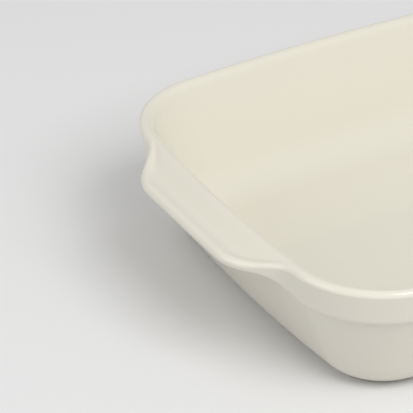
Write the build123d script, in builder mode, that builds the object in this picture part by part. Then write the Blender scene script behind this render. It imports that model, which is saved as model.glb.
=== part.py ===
from build123d import *
from math import atan2, cos, degrees, hypot, radians, sin, sqrt, tan
import os

os.makedirs("parts", exist_ok=True)

# Lasagna dish: a pressed stoneware basin with two lug handles, glazed all over but for its foot.
# Millimetres. The origin is the centre of the base on the table, +Z up, X along the long side.
# Drafts are degrees from upright.

# Rim, seen from above
rim_length = 345.0         # outer line of the rim, middle of one short side to the other
rim_width = 245.0          # outer line of the rim, middle of one long side to the other
long_side_bow = 13.0       # how far the middle of a long side stands out past its corners
short_side_bow = 7.0       # the same for a short side
corner_radius = 47.5

# Height, and the outside of the wall
dish_height = 62.0
band_height = 18.0         # rim band, from the crest down to its lower edge
band_draft = 8.5
band_step = 2.3            # how far the wall is set back under the band
wall_draft = 19.5
base_curve = 16.0          # outer radius from the wall down to the base

# Lip of the rim
lip_width = 5.4            # from the rim's outer line to its inner line
lip_outer_radius = 2.6
lip_inner_radius = 2.6

# Inside of the basin
inside_draft = 20.0
inside_curve = 20.0        # radius from the inner wall to the floor
floor_level = 7.0          # height of the inside floor above the table

# Foot ring under the base, bare of glaze
foot_height = 1.0
foot_width = 6.0           # where it stands on the table
foot_margin = 2.0          # flat base left outside the foot ring
foot_draft = 20.0

# Lug handles, one on each short side
handle_reach = 15.9        # from the rim's outer line to the handle's edge
handle_corner_gap = 6.7    # along the short side, from the corner's curve to the handle's flank
handle_flank_length = 23.2  # along the short side, from the root of a flank to the handle's edge
handle_corner_radius = 28.0
handle_root_radius = 26.0  # hollow curve from a flank into the rim band
handle_sink = 3.6          # how deep the root lies behind the rim's outer line
handle_drop = 4.5          # the handle's edge lies this much lower than the rim crest
handle_top_gap = 0.15      # the top of the handle starts this far under the crest
handle_edge_round = 2.3
handle_thickness = 9.6     # from the rim crest down to the level part of the underside
handle_span = 16.0         # degrees of the short side's curve that hold the handle
grip_level_setback = 12.7  # the level part of the underside ends this far inside the flank's root
grip_runout = 5.3          # the underside runs out into the band this far past the flank's root
grip_end_radius = 22.0
bead_width = 5.2           # raised bead along the handle's edge
palm_depth = 2.0           # the dished top lies this much deeper beside the bead
palm_start = 3.4           # the dished top starts this far outside the crest

# Glaze
glaze_thickness = 0.5

# Overruns for cutters and joined solids
overrun = 10.0
seam_overlap = 0.5

# Curves of the rim, worked out from the sizes above. Its corners' centres lie at corner_x and
# corner_y, and a side's curve turns by its own angle between its middle and the corner.
short_chord = rim_width / 2 - long_side_bow
long_chord = rim_length / 2 - short_side_bow
short_side_radius = (short_chord ** 2 + short_side_bow ** 2) / (2 * short_side_bow)
long_side_radius = (long_chord ** 2 + long_side_bow ** 2) / (2 * long_side_bow)
short_side_centre = rim_length / 2 - short_side_radius
long_side_centre = rim_width / 2 - long_side_radius
centres_span = hypot(short_side_centre, long_side_centre)
short_reach = short_side_radius - corner_radius
long_reach = long_side_radius - corner_radius
reach_along = (short_reach ** 2 - long_reach ** 2 + centres_span ** 2) / (2 * centres_span)
reach_away = sqrt(short_reach ** 2 - reach_along ** 2)
reach_x = (reach_along * short_side_centre + reach_away * long_side_centre) / centres_span
corner_x = short_side_centre - reach_x
corner_y = (reach_along * long_side_centre - reach_away * short_side_centre) / centres_span
short_side_turn = atan2(corner_y, corner_x - short_side_centre)
long_side_turn = atan2(corner_x, corner_y - long_side_centre)

# Levels, and insets from the rim's outer line
band_bottom = dish_height - band_height
grip_level = dish_height - handle_thickness
band_slope = tan(radians(band_draft))
wall_slope = tan(radians(wall_draft))
inside_slope = tan(radians(inside_draft))
foot_slope = tan(radians(foot_draft))
crest_inset = lip_outer_radius + (lip_width - lip_outer_radius - lip_inner_radius) / 2
band_top_inset = lip_outer_radius - lip_outer_radius / tan(radians(45 - band_draft / 2))
mouth_inset = lip_width - lip_inner_radius + lip_inner_radius * tan(radians(45 - inside_draft / 2))
wall_top_inset = band_top_inset + band_height * band_slope + band_step
base_inset = wall_top_inset + (band_bottom - foot_height) * wall_slope
foot_inset = base_inset + base_curve * tan(radians(45 - wall_draft / 2)) + foot_margin
floor_inset = mouth_inset + (dish_height - floor_level) * inside_slope
floor_curve_inset = floor_inset + inside_curve * tan(radians(45 - inside_draft / 2))
foot_inner_inset = foot_inset + foot_width + floor_level / 2 * foot_slope
slab_inset = max(foot_inner_inset, floor_curve_inset) + 2 * seam_overlap

# Plan of the +X handle
handle_root_length = 2 * (corner_y + corner_radius * sin(short_side_turn) - handle_corner_gap)
handle_edge_length = handle_root_length - 2 * handle_flank_length
crest_radius = short_side_radius - crest_inset
handle_edge_x = rim_length / 2 + handle_reach
handle_edge_radius = handle_edge_x - short_side_centre
root_outer_x = short_side_centre + sqrt(short_side_radius ** 2 - handle_root_length ** 2 / 4)
root_x = root_outer_x - handle_sink
root_back_x = root_x - 2 * lip_width
flank_rise = handle_edge_x - root_outer_x
root_corner_y = handle_root_length / 2 + handle_sink * handle_flank_length / flank_rise
flank_turn = atan2(flank_rise, handle_flank_length)
root_end = root_corner_y + handle_root_radius * tan(flank_turn / 2) + 2 * seam_overlap
grip_level_end = handle_root_length / 2 - grip_level_setback
grip_end = handle_root_length / 2 + grip_runout
handle_slope = handle_drop / (handle_edge_radius - crest_radius)


def rim_outline(inset):
    """Outline of the rim in plan, set in from its outer line."""
    half_length = rim_length / 2 - inset
    half_width = rim_width / 2 - inset
    radius = corner_radius - inset
    short_end_x = corner_x + radius * cos(short_side_turn)
    short_end_y = corner_y + radius * sin(short_side_turn)
    long_end_x = corner_x + radius * sin(long_side_turn)
    long_end_y = corner_y + radius * cos(long_side_turn)
    middle_turn = (radians(90) + short_side_turn - long_side_turn) / 2
    middle = (corner_x + radius * cos(middle_turn), corner_y + radius * sin(middle_turn))
    with BuildSketch() as outline:
        with BuildLine():
            ThreePointArc((short_end_x, -short_end_y), (half_length, 0), (short_end_x, short_end_y))
            corner = ThreePointArc((short_end_x, short_end_y), middle, (long_end_x, long_end_y))
            ThreePointArc((long_end_x, long_end_y), (0, half_width), (-long_end_x, long_end_y))
            mirror(corner, about=Plane.YZ)
            mirror(corner, about=Plane.XZ)
            mirror(corner.mirror(Plane.YZ), about=Plane.XZ)
            ThreePointArc((-short_end_x, -short_end_y), (-half_length, 0), (-short_end_x, short_end_y))
            ThreePointArc((long_end_x, -long_end_y), (0, -half_width), (-long_end_x, -long_end_y))
        make_face()
    return outline.sketch


def rim_prism(inset, bottom, top):
    """Upright solid on the rim's outline set in, between two heights."""
    with BuildPart() as prism:
        with BuildSketch(Plane.XY.offset(bottom)):
            add(rim_outline(inset))
        extrude(amount=top - bottom)
    return prism.part


def round_the_rim(section):
    """Ring that a section makes round the rim; its x is outward from the rim's outer line, its y up."""
    short_end = degrees(short_side_turn)
    long_end = 90 - degrees(long_side_turn)
    arcs = [
        (short_side_centre, 0, short_side_radius, 0, short_end),
        (corner_x, corner_y, corner_radius, short_end, long_end),
        (0, long_side_centre, long_side_radius, long_end, 90),
    ]
    with BuildPart() as ring:
        for x, y, radius, start, end in arcs:
            way = Vector(1, 0, 0).rotate(Axis.Z, start)
            centre = Vector(x, y, 0)
            with BuildSketch(Plane(origin=centre + way * radius, x_dir=way, z_dir=way.rotate(Axis.Z, -90))):
                add(section)
            revolve(axis=Axis(centre, (0, 0, 1)), revolution_arc=end - start)
        mirror(about=Plane.XZ)
        mirror(about=Plane.YZ)
    return ring.part


def band_section(skin):
    """Section of the rim band and its lip, filled inwards, for a form that lies skin deep."""
    outer_corner = (-band_top_inset, dish_height)
    with BuildSketch() as section:
        with BuildLine():
            Polyline(
                outer_corner,
                (-band_top_inset - band_height * band_slope, band_bottom),
                (-slab_inset, band_bottom),
                (-slab_inset, dish_height),
                close=True,
            )
        make_face()
        fillet(section.vertices().sort_by_distance(outer_corner)[0], lip_outer_radius)
        offset(amount=-skin, kind=Kind.INTERSECTION)
    return section.sketch


def wall_section(skin):
    """Section of the wall and the rounding of the base, filled inwards, in the same way."""
    top = grip_level + 2 * seam_overlap
    base_corner = (-base_inset, foot_height)
    with BuildSketch() as section:
        with BuildLine():
            Polyline(
                (-wall_top_inset - (band_bottom - top) * wall_slope, top),
                base_corner,
                (-slab_inset, foot_height),
                (-slab_inset, top),
                close=True,
            )
        make_face()
        fillet(section.vertices().sort_by_distance(base_corner)[0], base_curve)
        offset(amount=-skin, kind=Kind.INTERSECTION)
    return section.sketch


def basin_section(skin):
    """Section of the space over the lip and inside the walls, for a form that lies skin deep."""
    inner_corner = (-mouth_inset, dish_height)
    floor_corner = (-floor_inset, floor_level)
    with BuildSketch() as section:
        with BuildLine():
            Polyline(
                (0, dish_height + overrun),
                (0, dish_height),
                inner_corner,
                floor_corner,
                (-slab_inset, floor_level),
                (-slab_inset, dish_height + overrun),
                close=True,
            )
        make_face()
        fillet(section.vertices().sort_by_distance(inner_corner)[0], lip_inner_radius)
        fillet(section.vertices().sort_by_distance(floor_corner)[0], inside_curve)
        offset(amount=skin, kind=Kind.INTERSECTION)
    return section.sketch


def foot_section():
    """Section of the ring that the dish stands on, from the table up into the base."""
    top = floor_level / 2
    flare = top * foot_slope
    with BuildSketch() as section:
        with BuildLine():
            Polyline(
                (-foot_inset, 0),
                (-foot_inset + flare, top),
                (-foot_inset - foot_width - flare, top),
                (-foot_inset - foot_width, 0),
                close=True,
            )
        make_face()
    return section.sketch


def inner_coat_section():
    """Section of the coat from the middle of the crest down the inner wall to the floor."""
    with BuildSketch() as section:
        add(basin_section(glaze_thickness))
        add(basin_section(0), mode=Mode.SUBTRACT)
        with BuildLine():
            Polyline(
                (-crest_inset, dish_height),
                (-crest_inset, 0),
                (seam_overlap - slab_inset, 0),
                (seam_overlap - slab_inset, dish_height),
                close=True,
            )
        make_face(mode=Mode.INTERSECT)
    return section.sketch


def swept_section(points):
    """Solid that a section, as radius and height, makes along the short side's curve."""
    start = radians(-handle_span / 2)
    across = Plane(
        origin=(short_side_centre, 0, 0),
        x_dir=(cos(start), sin(start), 0),
        z_dir=(sin(start), -cos(start), 0),
    )
    with BuildPart() as sector:
        with BuildSketch(across):
            with BuildLine():
                Polyline(*points, close=True)
            make_face()
        revolve(axis=Axis((short_side_centre, 0, 0), (0, 0, 1)), revolution_arc=handle_span)
    return sector.part


def handle_outline(inset):
    """Plan of the +X handle, set in from its edge; its root runs back under the rim."""
    edge_half = handle_edge_length / 2
    with BuildSketch() as outline:
        with BuildLine():
            Polyline(
                (root_back_x, -root_end),
                (root_x, -root_end),
                (root_x, -root_corner_y),
                (handle_edge_x, -edge_half),
                (handle_edge_x, edge_half),
                (root_x, root_corner_y),
                (root_x, root_end),
                (root_back_x, root_end),
                close=True,
            )
        make_face()
        corners = outline.vertices().sort_by(Axis.X)
        edge_corners = corners[-2:]
        root_corners = corners[2:6].sort_by(Axis.Y)[1:3]
        fillet(edge_corners, handle_corner_radius)
        fillet(root_corners, handle_root_radius)
        offset(amount=-inset, kind=Kind.INTERSECTION)
    return outline.sketch


def dished_space(skin):
    """Space over the dished top of the +X handle, inside its bead, for a form that lies skin deep."""
    start = crest_radius + palm_start
    end = handle_edge_radius + overrun
    start_height = dish_height - skin - handle_top_gap - handle_slope * palm_start
    slope = handle_slope + palm_depth / (handle_edge_radius - bead_width - start)
    over_dish = swept_section([
        (crest_radius, start_height + slope * palm_start),
        (end, start_height - slope * (end - start)),
        (end, dish_height + overrun),
        (crest_radius, dish_height + overrun),
    ])
    with BuildPart() as space:
        with BuildSketch(Plane.XY.offset(band_bottom)):
            add(handle_outline(bead_width - skin))
        extrude(amount=band_height + overrun)
        add(over_dish, mode=Mode.INTERSECT)
    return space.part


def lug(skin):
    """The +X handle down to the band's lower edge, for a form that lies skin deep."""
    back = crest_radius - 3 * lip_width
    front = crest_radius + seam_overlap
    end = handle_edge_radius + overrun
    height = dish_height - skin - handle_top_gap
    under_top = swept_section([
        (back, band_bottom - overrun),
        (end, band_bottom - overrun),
        (end, height - handle_slope * (end - crest_radius)),
        (back, height + handle_slope * (crest_radius - back)),
    ])
    outside_crest = swept_section([
        (front, band_bottom - overrun),
        (end, band_bottom - overrun),
        (end, dish_height + overrun),
        (front, dish_height + overrun),
    ])
    with BuildPart() as handle:
        with BuildSketch(Plane.XY.offset(band_bottom + skin)):
            add(handle_outline(skin))
        extrude(amount=band_height + overrun)
        add(under_top, mode=Mode.INTERSECT)
        top_edges = handle.faces().sort_by(Axis.Z)[-1].edges()
        outer_edges = top_edges.filter_by(
            lambda edge: abs(edge.center().Y) < root_end - 2 * seam_overlap
            and edge.center().X > root_back_x + lip_width
        )
        fillet(outer_edges, handle_edge_round - skin)
        add(outside_crest, mode=Mode.INTERSECT)
        add(dished_space(skin), mode=Mode.SUBTRACT)
    return handle.part


def grip_space(skin):
    """Space under the +X handle for the fingers, for a form that lies skin deep."""
    with BuildPart() as space:
        with BuildSketch(Plane.YZ.offset(root_back_x)) as side:
            with BuildLine():
                Polyline(
                    (-root_end - overrun, band_bottom - overrun),
                    (-root_end - overrun, band_bottom + skin),
                    (-grip_end, band_bottom + skin),
                    (-grip_level_end, grip_level + skin),
                    (grip_level_end, grip_level + skin),
                    (grip_end, band_bottom + skin),
                    (root_end + overrun, band_bottom + skin),
                    (root_end + overrun, band_bottom - overrun),
                    close=True,
                )
            make_face()
            bends = side.vertices().filter_by(
                lambda corner: abs(corner.Y) < root_end and corner.Z > band_bottom - seam_overlap
            )
            fillet(bends, grip_end_radius)
        extrude(amount=handle_edge_x - root_back_x + overrun)
    return space.part


def outside_form(skin):
    """The dish as it is from outside, filled to the rim, for a form that lies skin deep."""
    handle = lug(skin)
    grip = grip_space(skin)
    with BuildPart() as form:
        add(round_the_rim(band_section(skin)))
        add(handle)
        add(handle.mirror(Plane.YZ))
        add(grip, mode=Mode.SUBTRACT)
        add(grip.mirror(Plane.YZ), mode=Mode.SUBTRACT)
        add(round_the_rim(wall_section(skin)))
        add(round_the_rim(foot_section()))
        add(rim_prism(slab_inset - 2 * seam_overlap, foot_height + skin, dish_height - skin))
    return form.part


clay_form = outside_form(glaze_thickness)

with BuildPart() as stoneware_body:
    add(clay_form)
    add(round_the_rim(basin_section(glaze_thickness)), mode=Mode.SUBTRACT)
    add(
        rim_prism(slab_inset - 2 * seam_overlap, floor_level - glaze_thickness, dish_height + overrun),
        mode=Mode.SUBTRACT,
    )

with BuildPart() as glaze_inside:
    add(round_the_rim(inner_coat_section()))
    add(rim_prism(slab_inset - 2 * seam_overlap, floor_level - glaze_thickness, floor_level))

with BuildPart() as glaze_outside:
    add(outside_form(0))
    add(clay_form, mode=Mode.SUBTRACT)
    add(rim_prism(crest_inset, dish_height - lip_width, dish_height + overrun), mode=Mode.SUBTRACT)
    add(rim_prism(foot_inset + foot_width / 2, -overrun, floor_level), mode=Mode.SUBTRACT)

with BuildPart() as glaze_underside:
    add(rim_prism(foot_inset + foot_width / 2, foot_height, foot_height + glaze_thickness))
    add(round_the_rim(foot_section()), mode=Mode.SUBTRACT)

stoneware_body.part.label = "stoneware_body"
glaze_inside.part.label = "glaze_inside"
glaze_outside.part.label = "glaze_outside"
glaze_underside.part.label = "glaze_underside"
export_step(stoneware_body.part, "parts/stoneware_body.step")
export_step(glaze_inside.part, "parts/glaze_inside.step")
export_step(glaze_outside.part, "parts/glaze_outside.step")
export_step(glaze_underside.part, "parts/glaze_underside.step")
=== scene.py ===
"""Lasagna dish: the glazed coat and the fired clay under it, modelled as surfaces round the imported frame."""

import logging
import math
from dataclasses import dataclass, field
from enum import Enum

import bmesh
import bpy
from mathutils import Matrix, Vector


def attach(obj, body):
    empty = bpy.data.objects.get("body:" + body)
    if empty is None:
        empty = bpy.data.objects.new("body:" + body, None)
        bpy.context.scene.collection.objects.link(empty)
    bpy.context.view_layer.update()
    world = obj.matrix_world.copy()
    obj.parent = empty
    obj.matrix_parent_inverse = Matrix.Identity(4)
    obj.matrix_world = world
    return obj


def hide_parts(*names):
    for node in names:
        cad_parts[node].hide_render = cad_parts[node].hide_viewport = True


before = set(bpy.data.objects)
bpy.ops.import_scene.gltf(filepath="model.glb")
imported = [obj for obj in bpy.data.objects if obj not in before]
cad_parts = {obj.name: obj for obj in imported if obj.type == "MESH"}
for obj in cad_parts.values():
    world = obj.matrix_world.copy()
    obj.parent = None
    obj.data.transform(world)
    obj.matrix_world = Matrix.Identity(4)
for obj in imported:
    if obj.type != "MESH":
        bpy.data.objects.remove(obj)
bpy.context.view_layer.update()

log = logging.getLogger("lasagna_dish")

MM = 0.001
ROOT = "root"


def smoothstep(value: float, start: float, end: float) -> float:
    """Eases a value from 0 at start to 1 at end.

    Args:
        value: Where to read the curve.
        start: Value at which it leaves 0.
        end: Value at which it reaches 1; it may lie below start.

    Returns:
        A share from 0 to 1.
    """
    share = min(max((value - start) / (end - start), 0.0), 1.0)
    return share * share * (3 - 2 * share)


def soft_min(first: float, second: float, reach: float) -> float:
    """The lower of two lengths, rounded off where they come within reach of each other.

    Args:
        first: One length.
        second: The other length.
        reach: Difference under which the corner is rounded.

    Returns:
        The rounded minimum.
    """
    overlap = max(reach - abs(first - second), 0.0) / reach
    return min(first, second) - overlap * overlap * reach / 4


def soft_max(first: float, second: float, reach: float) -> float:
    """The higher of two lengths, rounded off in the same way as soft_min."""
    return -soft_min(-first, -second, reach)


def mix(first: float, second: float, share: float) -> float:
    """Value that lies the given share of the way from first to second."""
    return first + (second - first) * share


class Finish(Enum):
    """Material slots of the record that the dish's pieces take their finish from."""

    GLAZE = "cream_glaze"
    CLAY = "bare_stoneware"


@dataclass(frozen=True)
class RimPlan:
    """Outline of the rim seen from above, in millimetres: four bowed sides and four equal corners."""

    length: float = 345.0
    width: float = 245.0
    long_side_bow: float = 13.0
    short_side_bow: float = 7.0
    corner_radius: float = 47.5
    short_side_columns: int = 50
    long_side_columns: int = 14
    corner_columns: int = 15

    @property
    def short_radius(self) -> float:
        """Radius of a short side's curve."""
        half_chord = self.width / 2 - self.long_side_bow
        return (half_chord ** 2 + self.short_side_bow ** 2) / (2 * self.short_side_bow)

    @property
    def long_radius(self) -> float:
        """Radius of a long side's curve."""
        half_chord = self.length / 2 - self.short_side_bow
        return (half_chord ** 2 + self.long_side_bow ** 2) / (2 * self.long_side_bow)

    @property
    def short_centre(self) -> float:
        """X of the centre of the +X side's curve."""
        return self.length / 2 - self.short_radius

    @property
    def long_centre(self) -> float:
        """Y of the centre of the +Y side's curve."""
        return self.width / 2 - self.long_radius

    def corner_centre(self) -> tuple[float, float]:
        """Centre of the corner arc that touches the +X and the +Y side.

        Returns:
            Its X and Y.
        """
        span = math.hypot(self.short_centre, self.long_centre)
        short_reach = self.short_radius - self.corner_radius
        long_reach = self.long_radius - self.corner_radius
        along = (short_reach ** 2 - long_reach ** 2 + span ** 2) / (2 * span)
        away = math.sqrt(short_reach ** 2 - along ** 2)
        x = self.short_centre - (along * self.short_centre + away * self.long_centre) / span
        y = (along * self.long_centre - away * self.short_centre) / span
        return x, y

    def quarter(self) -> list["Column"]:
        """Columns of the quarter from the middle of the +X side to the middle of the +Y side.

        Returns:
            The columns in order, both ends included.
        """
        corner_x, corner_y = self.corner_centre()
        short_turn = math.atan2(corner_y, corner_x - self.short_centre)
        long_turn = math.pi / 2 - math.atan2(corner_x, corner_y - self.long_centre)
        arcs = [
            (self.short_centre, 0.0, self.short_radius, 0.0, short_turn, self.short_side_columns // 2),
            (corner_x, corner_y, self.corner_radius, short_turn, long_turn, self.corner_columns),
            (0.0, self.long_centre, self.long_radius, long_turn, math.pi / 2, self.long_side_columns // 2),
        ]
        columns = []
        for x, y, radius, start, end, steps in arcs:
            for step in range(steps):
                turn = mix(start, end, step / steps)
                columns.append(Column(x, y, radius, turn))
        columns.append(Column(0.0, self.long_centre, self.long_radius, math.pi / 2))
        return columns

    def columns(self) -> list["Column"]:
        """Columns all the way round the rim, against the clock from the middle of the +X side."""
        quarter = self.quarter()
        half = quarter + [column.across_x() for column in reversed(quarter[:-1])]
        return half + [column.across_y() for column in reversed(half[1:-1])]


@dataclass(frozen=True)
class Column:
    """One place on the rim's outline: the arc it lies on and its turn round that arc's centre."""

    centre_x: float
    centre_y: float
    radius: float
    turn: float

    def across_x(self) -> "Column":
        """The column mirrored to the other end of the dish."""
        return Column(-self.centre_x, self.centre_y, self.radius, math.pi - self.turn)

    def across_y(self) -> "Column":
        """The column mirrored to the other side of the dish."""
        return Column(self.centre_x, -self.centre_y, self.radius, -self.turn)

    def point(self, inset: float, height: float) -> Vector:
        """Point set in from the rim's outer line along the column.

        Args:
            inset: Distance inwards, in millimetres.
            height: Height above the table, in millimetres.

        Returns:
            The point in metres.
        """
        reach = self.radius - inset
        x = self.centre_x + reach * math.cos(self.turn)
        y = self.centre_y + reach * math.sin(self.turn)
        return Vector((x, y, height)) * MM

    def faces_short_side(self) -> bool:
        """Whether the column lies on one of the two short sides' curves."""
        return self.centre_y == 0.0


@dataclass(frozen=True)
class Section:
    """Sizes of the section through the rim, the walls and the base, in millimetres and degrees."""

    height: float = 62.0
    band_height: float = 18.0
    band_draft: float = 8.5
    band_step: float = 2.3
    band_edge_round: float = 2.8
    band_edge_lift: float = 1.0
    step_turn: float = 60.0
    step_hollow: float = 2.8
    wall_draft: float = 19.5
    base_curve: float = 16.0
    base_level: float = 1.0
    lip_round: float = 2.6
    inner_lip_round: float = 4.5
    mouth_inset: float = 5.82
    inside_draft: float = 18.9
    inside_curve: float = 20.0
    floor_level: float = 7.0

    @property
    def band_slope(self) -> float:
        """Inset of the band's face for each millimetre down."""
        return math.tan(math.radians(self.band_draft))

    @property
    def wall_slope(self) -> float:
        """Inset of the outer wall for each millimetre down."""
        return math.tan(math.radians(self.wall_draft))

    @property
    def band_top(self) -> float:
        """Inset at which the band's face, run upwards, meets the level of the crest."""
        return self.lip_round - self.lip_round / math.tan(math.radians(45 - self.band_draft / 2))

    @property
    def crest_inset(self) -> float:
        """Inset of the middle of the crest."""
        return (self.lip_round + self.inner_lip_centre) / 2

    @property
    def inner_lip_centre(self) -> float:
        """Inset of the centre of the curve from the inner wall to the crest."""
        turn = math.radians(45 - self.inside_draft / 2)
        return self.mouth_inset - self.inner_lip_round * math.tan(turn)

    def wall_inset(self, height: float) -> float:
        """Inset of the outer wall at a height, also where the wall is run up behind the band."""
        band_bottom = self.height - self.band_height
        top = self.band_top + self.band_height * self.band_slope + self.band_step
        return top + (band_bottom - height) * self.wall_slope

    @property
    def base_centre(self) -> tuple[float, float]:
        """Inset and height of the centre of the curve from the wall to the base."""
        turn = math.radians(45 - self.wall_draft / 2)
        inset = self.wall_inset(self.base_level) + self.base_curve * math.tan(turn)
        return inset, self.base_level + self.base_curve

    @property
    def floor_centre(self) -> tuple[float, float]:
        """Inset and height of the centre of the curve from the inner wall to the floor."""
        turn = math.radians(45 - self.inside_draft / 2)
        fall = (self.height - self.floor_level) * math.tan(math.radians(self.inside_draft))
        inset = self.mouth_inset + fall + self.inside_curve * math.tan(turn)
        return inset, self.floor_level + self.inside_curve


@dataclass(frozen=True)
class Lug:
    """Sizes of a lug handle, in millimetres; drops are measured down from the crest of the rim."""

    reach: float = 15.9
    root_y: float = 64.75
    flank_slope: float = 0.727
    corner_reach: float = 6.8
    root_reach: float = 4.6
    edge_round: float = 2.3
    low_round: float = 1.9
    ridge_drop: float = 4.0
    ridge_level_y: float = 46.0
    ridge_end_y: float = 70.0
    palm_drop: float = 1.2
    palm_inset: float = 5.0
    palm_lead: float = 0.75
    rise_share: float = 0.8
    low_drop: float = 9.2
    grip_level_y: float = 53.0
    grip_end_y: float = 73.5
    hollow: float = 3.2
    root_share: float = 0.4
    slope_probe: float = 0.25

    def edge(self, column: Column) -> float:
        """How far the handle's edge stands out from the rim's outer line at a column.

        Args:
            column: Place on a short side's curve.

        Returns:
            The reach in millimetres, 0 away from the handle.
        """
        y = abs(column.radius * math.sin(column.turn))
        flank = (self.root_y - y) * self.flank_slope
        bow = column.radius * (1 - abs(math.cos(column.turn)))
        shaped = soft_min(self.reach + bow, flank, self.corner_reach)
        return soft_max(shaped, 0.0, self.root_reach)

    def edge_stretch(self, column: Column) -> float:
        """How much longer a cut along the column is than one square to the handle's edge.

        Args:
            column: Place on a short side's curve.

        Returns:
            A factor of 1 or more.
        """
        nudge = self.slope_probe / column.radius
        ahead = Column(column.centre_x, column.centre_y, column.radius, column.turn + nudge)
        behind = Column(column.centre_x, column.centre_y, column.radius, column.turn - nudge)
        slope = (self.edge(ahead) - self.edge(behind)) / (2 * self.slope_probe)
        return math.sqrt(1 + slope * slope)


@dataclass(frozen=True)
class RimShape:
    """What the section through the rim measures at one column, in millimetres."""

    reach: float
    stretch: float
    share: float
    ridge_drop: float
    low_height: float
    low_turn: float
    edge_round: float
    low_round: float
    hollow: float


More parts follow.
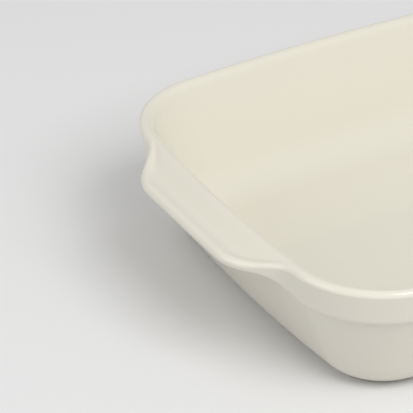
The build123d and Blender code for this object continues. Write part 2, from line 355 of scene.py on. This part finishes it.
@dataclass
class DishSurface:
    """Surface of the dish, as rows of points from the middle of the floor, over the rim, to the foot."""

    plan: RimPlan = field(default_factory=RimPlan)
    section: Section = field(default_factory=Section)
    lug: Lug = field(default_factory=Lug)
    floor_loop_inset: float = 44.0
    floor_loop_shares: tuple[float, ...] = (0.12, 0.3, 0.5, 0.7, 0.87)
    inside_curve_steps: int = 7
    inside_wall_shares: tuple[float, ...] = (0.2, 0.45, 0.7, 0.9)
    lip_steps: int = 5
    panel_shares: tuple[float, ...] = (0.0, 0.12, 0.27, 0.42, 0.56, 0.68, 0.78, 0.87, 0.94, 1.0)
    edge_steps: int = 5
    face_shares: tuple[float, ...] = (0.12, 0.4, 0.7, 0.92)
    low_steps: int = 4
    under_shares: tuple[float, ...] = (0.35, 0.75)
    hollow_steps: int = 4
    wall_shares: tuple[float, ...] = (0.06, 0.35, 0.7)
    base_curve_steps: int = 6

    def rim_shape(self, column: Column) -> RimShape:
        """Measures the rim and the handle at one column.

        Args:
            column: Place on the rim.

        Returns:
            The sizes of the section there.
        """
        sec = self.section
        lug = self.lug
        plain_low = sec.height - sec.band_height + sec.band_edge_lift
        plain_turn = math.radians(sec.step_turn)
        if not column.faces_short_side():
            return RimShape(
                0.0, 1.0, 0.0, 0.0, plain_low, plain_turn,
                sec.lip_round, sec.band_edge_round, sec.step_hollow,
            )
        y = abs(column.radius * math.sin(column.turn))
        reach = lug.edge(column)
        share = smoothstep(reach, 0.0, lug.root_share * lug.reach)
        low_share = smoothstep(y, lug.grip_end_y, lug.grip_level_y)
        drop = lug.ridge_drop * smoothstep(y, lug.ridge_end_y, lug.ridge_level_y)
        return RimShape(
            reach=reach,
            stretch=lug.edge_stretch(column),
            share=share,
            ridge_drop=drop,
            low_height=mix(plain_low, sec.height - lug.low_drop, low_share),
            low_turn=mix(plain_turn, math.pi / 2, low_share),
            edge_round=mix(sec.lip_round, lug.edge_round, share),
            low_round=mix(sec.band_edge_round, lug.low_round, low_share),
            hollow=mix(sec.step_hollow, lug.hollow, low_share),
        )

    def inside_rows(self) -> list[tuple[float, float]]:
        """Inset and height of the rows from the edge of the floor up to the top of the lip."""
        sec = self.section
        centre_inset, centre_height = sec.floor_centre
        end = math.radians(90 - sec.inside_draft)
        rows = []
        for step in range(self.inside_curve_steps + 1):
            turn = end * step / self.inside_curve_steps
            rows.append((
                centre_inset - sec.inside_curve * math.sin(turn),
                centre_height - sec.inside_curve * math.cos(turn),
            ))
        lip_inset = sec.inner_lip_centre
        lip_round = sec.inner_lip_round
        lip_height = sec.height - lip_round
        draft = math.radians(sec.inside_draft)
        wall_end = (lip_inset + lip_round * math.cos(draft), lip_height + lip_round * math.sin(draft))
        wall_start = rows[-1]
        for share in self.inside_wall_shares:
            rows.append((mix(wall_start[0], wall_end[0], share), mix(wall_start[1], wall_end[1], share)))
        for step in range(self.lip_steps):
            turn = mix(draft, math.pi / 2, step / self.lip_steps)
            rows.append((
                lip_inset + lip_round * math.cos(turn),
                lip_height + lip_round * math.sin(turn),
            ))
        return rows

    def panel_point(self, shape: RimShape, share: float) -> tuple[float, float]:
        """Point on the top of the handle between the crest and the ridge along its edge.

        Args:
            shape: Section of the rim at the column.
            share: Share of the way from the crest to the ridge.

        Returns:
            Inset and height in millimetres.
        """
        sec = self.section
        lug = self.lug
        start = sec.crest_inset
        end = shape.edge_round * shape.stretch - shape.reach
        span = start - end
        away = span * share
        full_span = start + lug.reach - lug.edge_round
        local = min(away / (full_span - lug.palm_inset), 1.0)
        lead = lug.palm_lead * local * (1 - local) * (1 - local)
        palm = (lug.ridge_drop + lug.palm_drop) * (smoothstep(local, 0.0, 1.0) + lead)
        rise = min(lug.palm_inset * shape.stretch, lug.rise_share * span)
        drop = mix(palm, shape.ridge_drop, smoothstep(away, span - rise, span))
        return start - away, sec.height - drop

    def rim_rows(self, column: Column) -> list[tuple[float, float]]:
        """Inset and height of the rows from the crest over the edge, under it and down to the wall.

        Args:
            column: Place on the rim.

        Returns:
            The rows in order.
        """
        sec = self.section
        shape = self.rim_shape(column)
        draft = math.radians(sec.band_draft)
        ridge_inset = shape.edge_round * shape.stretch - shape.reach
        ridge_height = sec.height - shape.ridge_drop - shape.edge_round
        span = sec.crest_inset - ridge_inset
        arc_turn = math.pi / 2 + draft
        arc_length = shape.edge_round * arc_turn
        total = span + arc_length
        top_count = len(self.panel_shares) + self.edge_steps
        rows = []
        for index in range(top_count):
            if index < len(self.panel_shares):
                feature = self.panel_shares[index] * span
            else:
                step = index + 1 - len(self.panel_shares)
                feature = span + arc_length * step / self.edge_steps
            plain = total * index / (top_count - 1)
            along = mix(plain, feature, shape.share)
            if along <= span:
                rows.append(self.panel_point(shape, along / span))
            else:
                turn = (along - span) / shape.edge_round
                rows.append((
                    ridge_inset - shape.edge_round * shape.stretch * math.sin(turn),
                    ridge_height + shape.edge_round * math.cos(turn),
                ))
        face_start = rows[-1]
        tangent = shape.low_round * math.tan((shape.low_turn - draft) / 2)
        face_end_height = shape.low_height + tangent * math.cos(draft)
        low_centre_height = face_end_height + shape.low_round * math.sin(draft)
        face_end_inset = face_start[0] + (face_start[1] - face_end_height) * sec.band_slope
        for share in self.face_shares:
            rows.append((
                mix(face_start[0], face_end_inset, share),
                mix(face_start[1], face_end_height, share),
            ))
        low_inset = face_end_inset + shape.low_round * shape.stretch * math.cos(draft)
        for step in range(self.low_steps + 1):
            turn = mix(draft, shape.low_turn, step / self.low_steps)
            rows.append((
                low_inset - shape.low_round * shape.stretch * math.cos(turn),
                low_centre_height - shape.low_round * math.sin(turn),
            ))
        return rows + self.under_rows(shape, rows[-1])

    def under_rows(self, shape: RimShape, start: tuple[float, float]) -> list[tuple[float, float]]:
        """Rows from the lowest point of the edge inwards and round the hollow into the wall.

        Args:
            shape: Section of the rim at the column.
            start: Inset and height of the lowest point of the edge.

        Returns:
            The rows in order.
        """
        sec = self.section
        wall = math.radians(sec.wall_draft)
        inwards = math.sin(shape.low_turn)
        down = math.cos(shape.low_turn)
        length = (sec.wall_inset(start[1]) - start[0]) / (inwards - down * sec.wall_slope)
        tangent = shape.hollow * math.tan((shape.low_turn - wall) / 2)
        wall_height = start[1] - length * down - tangent * math.cos(wall)
        hollow_inset = sec.wall_inset(wall_height) - shape.hollow * math.cos(wall)
        hollow_height = wall_height - shape.hollow * math.sin(wall)
        flat = length - tangent
        rows = [
            (start[0] + inwards * flat * share, start[1] - down * flat * share)
            for share in self.under_shares
        ]
        for step in range(self.hollow_steps + 1):
            turn = mix(shape.low_turn, wall, step / self.hollow_steps)
            rows.append((
                hollow_inset + shape.hollow * math.cos(turn),
                hollow_height + shape.hollow * math.sin(turn),
            ))
        return rows

    def wall_rows(self, start: tuple[float, float]) -> list[tuple[float, float]]:
        """Rows from the top of the outer wall down and round to the flat of the base.

        Args:
            start: Inset and height of the top of the wall.

        Returns:
            The rows in order.
        """
        sec = self.section
        centre_inset, centre_height = sec.base_centre
        wall = math.radians(sec.wall_draft)
        end_height = centre_height - sec.base_curve * math.sin(wall)
        heights = [mix(start[1], end_height, share) for share in self.wall_shares]
        rows = [(sec.wall_inset(height), height) for height in heights]
        for step in range(self.base_curve_steps + 1):
            turn = mix(wall, math.pi / 2, step / self.base_curve_steps)
            rows.append((
                centre_inset - sec.base_curve * math.cos(turn),
                centre_height - sec.base_curve * math.sin(turn),
            ))
        return rows

    def column_rows(self, column: Column) -> list[tuple[float, float]]:
        """All the rows of one column from the edge of the floor to the flat of the base."""
        rows = self.inside_rows() + self.rim_rows(column)
        return rows + self.wall_rows(rows[-1])

    def floor_loops(self) -> list[list[Vector]]:
        """Loops of points over the flat floor, from its middle to where it starts to curve up."""
        level = self.section.floor_level
        outline = [column.point(self.floor_loop_inset, level) for column in self.plan.columns()]
        loops = []
        for share in self.floor_loop_shares + (1.0,):
            loops.append([Vector((point.x * share, point.y * share, point.z)) for point in outline])
        return loops

    def loops(self) -> list[list[Vector]]:
        """All loops of the glazed surface, from the middle of the floor to the flat of the base."""
        columns = self.plan.columns()
        rows = [self.column_rows(column) for column in columns]
        loops = self.floor_loops()
        for index in range(len(rows[0])):
            loops.append([column.point(*row[index]) for column, row in zip(columns, rows)])
        return loops


@dataclass(frozen=True)
class FootRing:
    """The bare ring that the dish stands on, in millimetres."""

    margin: float = 2.0
    width: float = 6.0
    height: float = 1.0
    draft: float = 20.0
    edge_round: float = 0.35
    edge_middle: float = 0.4
    edge_middle_height: float = 0.25
    edge_end: float = 1.2

    def rows(self, section: Section, glaze: float) -> list[tuple[float, float]]:
        """Rows over the ring, from the glazed base outside it to the clay under the panel inside it.

        Args:
            section: Section of the dish.
            glaze: Thickness of the glaze.

        Returns:
            Inset and height of each row.
        """
        slope = math.tan(math.radians(self.draft))
        outer = section.base_centre[0] + self.margin
        inner = outer + self.width
        low = self.edge_round
        middle = low * self.edge_middle
        middle_height = low * self.edge_middle_height
        end = low * self.edge_end
        top = self.height + glaze
        return [
            (outer - top * slope, top),
            (outer - self.height / 2 * slope, self.height / 2),
            (outer - low * slope, low),
            (outer + middle, middle_height),
            (outer + end, 0.0),
            ((outer + inner) / 2, 0.0),
            (inner - end, 0.0),
            (inner - middle, middle_height),
            (inner + low * slope, low),
            (inner + self.height / 2 * slope, self.height / 2),
            (inner + top * slope, top),
        ]


class MeshBench:
    """Edit-mode work on one mesh object."""

    def __init__(self, name: str) -> None:
        """Starts with nothing selected and remembers the name that the finished piece gets."""
        self.name = name
        bpy.ops.object.select_all(action="DESELECT")

    def start_ring(self, loop: list[Vector]) -> bpy.types.Object:
        """Adds a circle with one vertex for each point and lays it on a loop.

        Args:
            loop: Points of the first loop, in order.

        Returns:
            The new object, left in edit mode with its ring selected.
        """
        bpy.ops.mesh.primitive_circle_add(vertices=len(loop), radius=loop[0].length)
        piece = bpy.context.object
        piece.name = self.name
        piece.data.name = self.name
        bpy.ops.object.mode_set(mode="EDIT")
        bpy.ops.mesh.select_mode(type="VERT")
        bpy.ops.mesh.select_all(action="SELECT")
        mesh = bmesh.from_edit_mesh(piece.data)
        mesh.verts.ensure_lookup_table()
        for vertex, point in zip(mesh.verts, loop):
            vertex.co = point
        bmesh.update_edit_mesh(piece.data)
        return piece

    def extrude_to(self, piece: bpy.types.Object, loop: list[Vector]) -> None:
        """Extrudes the selected ring and lays the new one on a loop.

        Args:
            piece: Object in edit mode, with its last ring selected.
            loop: Points of the new ring, in order.
        """
        bpy.ops.mesh.extrude_edges_move()
        mesh = bmesh.from_edit_mesh(piece.data)
        mesh.verts.ensure_lookup_table()
        for vertex, point in zip(mesh.verts[-len(loop):], loop):
            vertex.co = point
        bmesh.update_edit_mesh(piece.data)

    def close_ring(self, piece: bpy.types.Object, first: int, count: int) -> None:
        """Closes a ring with strips of faces across it, so that no pole forms in its middle.

        The strips at both ends are triangles, because two of their corners are one vertex.

        Args:
            piece: Object in edit mode.
            first: Index of the ring's first vertex, at the middle of a short side.
            count: Number of vertices in the ring.
        """
        mesh = bmesh.from_edit_mesh(piece.data)
        mesh.verts.ensure_lookup_table()
        ring = mesh.verts[first:first + count]
        for step in range(count // 2):
            corners = [ring[step], ring[step + 1], ring[-step - 1], ring[-step]]
            mesh.faces.new(list(dict.fromkeys(corners)))
        bmesh.update_edit_mesh(piece.data)

    def finish_edit(self) -> None:
        """Points all faces outwards and leaves edit mode."""
        bpy.ops.mesh.select_all(action="SELECT")
        bpy.ops.mesh.normals_make_consistent(inside=False)
        bpy.ops.object.mode_set(mode="OBJECT")

    def apply(self, piece: bpy.types.Object, kind: str, **settings: object) -> None:
        """Adds a modifier with its settings and applies it.

        Args:
            piece: Object that gets the modifier.
            kind: Blender's name for the modifier's type.
            settings: Values for its properties.
        """
        modifier = piece.modifiers.new(kind.lower(), kind)
        for name, value in settings.items():
            setattr(modifier, name, value)
        bpy.context.view_layer.objects.active = piece
        bpy.ops.object.modifier_apply(modifier=modifier.name)


@dataclass
class GlazeCoat:
    """The coat of glaze over the basin, the rim, the handles and the wall, down to the foot ring."""

    surface: DishSurface
    thickness: float = 0.5
    smoothing: int = 1

    def build(self) -> bpy.types.Object:
        """Models the coat as a closed shell.

        Returns:
            The finished object.
        """
        loops = self.surface.loops()
        bench = MeshBench("glaze_coat")
        piece = bench.start_ring(loops[0])
        for loop in loops[1:]:
            bench.extrude_to(piece, loop)
        bench.close_ring(piece, 0, len(loops[0]))
        bench.finish_edit()
        self.turn_out(piece)
        bench.apply(piece, "SUBSURF", levels=self.smoothing, render_levels=self.smoothing)
        bench.apply(piece, "SOLIDIFY", thickness=self.thickness * MM, offset=-1.0, use_even_offset=True)
        bpy.ops.object.shade_smooth()
        return piece

    @staticmethod
    def turn_out(piece: bpy.types.Object) -> None:
        """Turns the open surface so that the floor of the basin faces up."""
        middle = min(piece.data.polygons, key=lambda face: face.center.length)
        if middle.normal.z < 0:
            piece.data.flip_normals()


@dataclass
class ClayBody:
    """The fired clay: the same surface half a millimetre deeper, with the foot ring under it."""

    surface: DishSurface
    foot: FootRing
    glaze: float = 0.5
    smoothing: int = 1
    panel_shares: tuple[float, ...] = (0.6, 0.25)

    def loops(self) -> list[list[Vector]]:
        """Loops of the clay's surface, from the middle of the floor to the foot ring."""
        loops = self.surface.loops()
        count = len(loops[0])
        sunk = []
        for index, loop in enumerate(loops):
            before = loops[max(index - 1, 0)]
            after = loops[min(index + 1, len(loops) - 1)]
            row = []
            for place, point in enumerate(loop):
                along = after[place] - before[place]
                around = loop[(place + 1) % count] - loop[place - 1]
                normal = around.cross(along).normalized()
                row.append(point - normal * self.glaze * MM * self.side(loops))
            sunk.append(row)
        return sunk

    @staticmethod
    def side(loops: list[list[Vector]]) -> float:
        """Sign that turns the cross product of a loop's directions out of the dish."""
        first, second = loops[0], loops[1]
        around = first[1] - first[-1]
        along = second[0] - first[0]
        return 1.0 if around.cross(along).z > 0 else -1.0

    def build(self) -> bpy.types.Object:
        """Models the clay as a closed solid.

        Returns:
            The finished object.
        """
        columns = self.surface.plan.columns()
        loops = self.loops()
        for inset, height in self.foot.rows(self.surface.section, self.glaze):
            loops.append([column.point(inset, height) for column in columns])
        base = loops[-1]
        bench = MeshBench("stoneware")
        for share in self.panel_shares:
            loops.append([Vector((point.x * share, point.y * share, point.z)) for point in base])
        piece = bench.start_ring(loops[0])
        for loop in loops[1:]:
            bench.extrude_to(piece, loop)
        bench.close_ring(piece, 0, len(columns))
        bench.close_ring(piece, (len(loops) - 1) * len(columns), len(columns))
        bench.finish_edit()
        bench.apply(piece, "SUBSURF", levels=self.smoothing, render_levels=self.smoothing)
        bpy.ops.object.shade_smooth()
        return piece


def plain_material(name: str) -> tuple[bpy.types.Material, bpy.types.ShaderNodeTree, bpy.types.Node]:
    """Makes an empty node material with one Principled shader.

    Args:
        name: Name of the material.

    Returns:
        The material, its node tree and its shader.
    """
    material = bpy.data.materials.new(name)
    material.use_nodes = True
    tree = material.node_tree
    tree.nodes.clear()
    output = tree.nodes.new("ShaderNodeOutputMaterial")
    shader = tree.nodes.new("ShaderNodeBsdfPrincipled")
    tree.links.new(shader.outputs["BSDF"], output.inputs["Surface"])
    return material, tree, shader


@dataclass(frozen=True)
class CreamGlaze:
    """Smooth off-white glaze: satin to glossy, a little uneven in tone, with a faint orange-peel, and painted
    shade that darkens the faces that turn downwards.
    """

    thick_tone: tuple[float, float, float] = (0.81, 0.785, 0.68)
    thin_tone: tuple[float, float, float] = (0.795, 0.765, 0.66)
    # Painted shade: faces whose normal turns downwards (the outer wall and the band) are mixed towards this
    # darker, less yellow tone, which stands in for the light they lack.
    outer_shade_tone: tuple[float, float, float] = (0.685, 0.657, 0.575)
    shade_start_z: float = 0.15
    shade_full_z: float = -0.2
    cloud_scale: float = 11.0
    peel_scale: float = 260.0
    roughness_low: float = 0.08
    roughness_high: float = 0.12
    cloud_detail: float = 3.0
    peel_detail: float = 2.0
    peel_strength: float = 0.05
    peel_depth: float = 0.0004
    refraction: float = 1.5

    def make(self) -> bpy.types.Material:
        """Builds the node material.

        Returns:
            The finished material.
        """
        material, tree, shader = plain_material(Finish.GLAZE.value)
        nodes = tree.nodes
        links = tree.links
        place = nodes.new("ShaderNodeTexCoord")
        cloud = nodes.new("ShaderNodeTexNoise")
        cloud.inputs["Scale"].default_value = self.cloud_scale
        cloud.inputs["Detail"].default_value = self.cloud_detail
        links.new(place.outputs["Object"], cloud.inputs["Vector"])
        tone = nodes.new("ShaderNodeMix")
        tone.data_type = "RGBA"
        tone.inputs["A"].default_value = (*self.thick_tone, 1.0)
        tone.inputs["B"].default_value = (*self.thin_tone, 1.0)
        links.new(cloud.outputs["Fac"], tone.inputs["Factor"])
        facing = nodes.new("ShaderNodeSeparateXYZ")
        links.new(place.outputs["Normal"], facing.inputs["Vector"])
        # Painted shade mask: 0 where the normal's Z is above the start value, rising to 1 where the faces turn
        # downwards; the mix below paints the shade tone in by it.
        painted_shade_mask = nodes.new("ShaderNodeMapRange")
        painted_shade_mask.inputs["From Min"].default_value = self.shade_start_z
        painted_shade_mask.inputs["From Max"].default_value = self.shade_full_z
        links.new(facing.outputs["Z"], painted_shade_mask.inputs["Value"])
        coat = nodes.new("ShaderNodeMix")
        coat.data_type = "RGBA"
        coat.inputs["B"].default_value = (*self.outer_shade_tone, 1.0)
        links.new(painted_shade_mask.outputs["Result"], coat.inputs["Factor"])
        links.new(tone.outputs["Result"], coat.inputs["A"])
        links.new(coat.outputs["Result"], shader.inputs["Base Color"])
        gloss = nodes.new("ShaderNodeMapRange")
        gloss.inputs["To Min"].default_value = self.roughness_low
        gloss.inputs["To Max"].default_value = self.roughness_high
        links.new(cloud.outputs["Fac"], gloss.inputs["Value"])
        links.new(gloss.outputs["Result"], shader.inputs["Roughness"])
        peel = nodes.new("ShaderNodeTexNoise")
        peel.inputs["Scale"].default_value = self.peel_scale
        peel.inputs["Detail"].default_value = self.peel_detail
        links.new(place.outputs["Object"], peel.inputs["Vector"])
        bump = nodes.new("ShaderNodeBump")
        bump.inputs["Strength"].default_value = self.peel_strength
        bump.inputs["Distance"].default_value = self.peel_depth
        links.new(peel.outputs["Fac"], bump.inputs["Height"])
        links.new(bump.outputs["Normal"], shader.inputs["Normal"])
        shader.inputs["IOR"].default_value = self.refraction
        return material


@dataclass(frozen=True)
class BareStoneware:
    """Unglazed fired clay: matt, fine grained and a little darker than the glaze."""

    pale_tone: tuple[float, float, float] = (0.60, 0.52, 0.42)
    dark_tone: tuple[float, float, float] = (0.50, 0.42, 0.33)
    grain_scale: float = 900.0
    grain_detail: float = 4.0
    grain_strength: float = 0.25
    grain_depth: float = 0.0003
    roughness: float = 0.85

    def make(self) -> bpy.types.Material:
        """Builds the node material.

        Returns:
            The finished material.
        """
        material, tree, shader = plain_material(Finish.CLAY.value)
        nodes = tree.nodes
        links = tree.links
        place = nodes.new("ShaderNodeTexCoord")
        grain = nodes.new("ShaderNodeTexNoise")
        grain.inputs["Scale"].default_value = self.grain_scale
        grain.inputs["Detail"].default_value = self.grain_detail
        links.new(place.outputs["Object"], grain.inputs["Vector"])
        tone = nodes.new("ShaderNodeMix")
        tone.data_type = "RGBA"
        tone.inputs["A"].default_value = (*self.pale_tone, 1.0)
        tone.inputs["B"].default_value = (*self.dark_tone, 1.0)
        links.new(grain.outputs["Fac"], tone.inputs["Factor"])
        links.new(tone.outputs["Result"], shader.inputs["Base Color"])
        bump = nodes.new("ShaderNodeBump")
        bump.inputs["Strength"].default_value = self.grain_strength
        bump.inputs["Distance"].default_value = self.grain_depth
        links.new(grain.outputs["Fac"], bump.inputs["Height"])
        links.new(bump.outputs["Normal"], shader.inputs["Normal"])
        shader.inputs["Roughness"].default_value = self.roughness
        return material


@dataclass(frozen=True)
class Softbox:
    """A square area light that points at the dish."""

    name: str
    place: tuple[float, float, float]
    size: float
    power: float

    def build(self) -> None:
        """Adds the light to the scene."""
        data = bpy.data.lights.new(self.name, "AREA")
        data.shape = "SQUARE"
        data.size = self.size
        data.energy = self.power
        light = bpy.data.objects.new(self.name, data)
        bpy.context.scene.collection.objects.link(light)
        aim = -Vector(self.place)
        light.location = self.place
        light.rotation_euler = aim.to_track_quat("-Z", "Y").to_euler()


@dataclass(frozen=True)
class Studio:
    """Plain pale floor, soft studio light and the camera at the photograph's angle."""

    target: tuple[float, float, float] = (-0.126324, 0.096024, 0.0)
    position: tuple[float, float, float] = (-0.7820, -1.2074, 0.8155)
    roll: float = -0.0264
    frame_pixels: float = 413.0
    focal_pixels: float = 3436.1
    nearest: float = 0.05
    farthest: float = 50.0
    floor_size: float = 12.0
    floor_roughness: float = 0.8
    floor_tone: tuple[float, float, float] = (0.84, 0.84, 0.84)
    sky_strength: float = 0.54
    softboxes: tuple[Softbox, ...] = (
        Softbox("key_softbox", (0.12, -1.4, 1.5), 1.2, 22.0),
        Softbox("side_softbox", (-1.6, 0.2, 0.8), 1.0, 4.5),
    )

    def build_camera(self) -> None:
        """Places the camera where the photograph was taken from and makes it the scene's own."""
        data = bpy.data.cameras.new("photo_camera")
        data.sensor_fit = "HORIZONTAL"
        data.angle = 2 * math.atan(self.frame_pixels / 2 / self.focal_pixels)
        data.clip_start = self.nearest
        data.clip_end = self.farthest
        camera = bpy.data.objects.new("photo_camera", data)
        bpy.context.scene.collection.objects.link(camera)
        forward = (Vector(self.target) - Vector(self.position)).normalized()
        right = forward.cross(Vector((0, 0, 1))).normalized()
        up = right.cross(forward)
        side = right * math.cos(self.roll) + up * math.sin(self.roll)
        top = up * math.cos(self.roll) - right * math.sin(self.roll)
        turn = Matrix((side, top, -forward)).transposed()
        camera.matrix_world = Matrix.Translation(Vector(self.position)) @ turn.to_4x4()
        bpy.context.scene.camera = camera

    def build_floor(self) -> None:
        """Lays the pale floor under the dish."""
        bpy.ops.object.select_all(action="DESELECT")
        bpy.ops.mesh.primitive_plane_add(size=self.floor_size)
        floor = bpy.context.object
        floor.name = "studio_floor"
        material, tree, shader = plain_material("studio_floor")
        shader.inputs["Base Color"].default_value = (*self.floor_tone, 1.0)
        shader.inputs["Roughness"].default_value = self.floor_roughness
        floor.data.materials.append(material)

    def build_light(self) -> None:
        """Lights the dish with a soft sky and the softboxes."""
        world = bpy.data.worlds.new("studio_sky")
        world.use_nodes = True
        sky = world.node_tree.nodes["Background"]
        sky.inputs["Color"].default_value = (1.0, 1.0, 1.0, 1.0)
        sky.inputs["Strength"].default_value = self.sky_strength
        bpy.context.scene.world = world
        bpy.context.scene.view_settings.view_transform = "Standard"
        for softbox in self.softboxes:
            softbox.build()


def dress_node(name: str, material: bpy.types.Material) -> None:
    """Gives a CAD node that stays one of the finishes.

    Args:
        name: Name of the node.
        material: Finish for all of its slots.
    """
    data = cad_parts[name].data
    data.materials.clear()
    data.materials.append(material)


def hand_over(piece: bpy.types.Object, finish: Finish, material: bpy.types.Material, *nodes: str) -> None:
    """Gives a new piece its finish, its body and the CAD nodes that it stands for.

    Args:
        piece: Finished object.
        finish: Material slot in the record; not used.
        material: Finish of the piece.
        nodes: CAD nodes that it replaces.
    """
    piece.data.materials.clear()
    piece.data.materials.append(material)
    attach(piece, ROOT)
    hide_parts(*nodes)
    triangles = sum(len(face.vertices) - 2 for face in piece.data.polygons)
    log.info("%s: %d triangles, replaces %s", piece.name, triangles, ", ".join(nodes))


def main() -> None:
    """Builds the studio, the clay and the glaze in that order."""
    logging.basicConfig(level=logging.INFO, format="%(name)s: %(message)s")
    studio = Studio()
    studio.build_camera()
    studio.build_floor()
    studio.build_light()
    cream = CreamGlaze().make()
    bare = BareStoneware().make()
    surface = DishSurface()
    clay = ClayBody(surface, FootRing()).build()
    hand_over(clay, Finish.CLAY, bare, "stoneware_body")
    coat = GlazeCoat(surface).build()
    hand_over(coat, Finish.GLAZE, cream, "glaze_inside", "glaze_outside")
    dress_node("glaze_underside", cream)


if __name__ == "__main__":
    main()
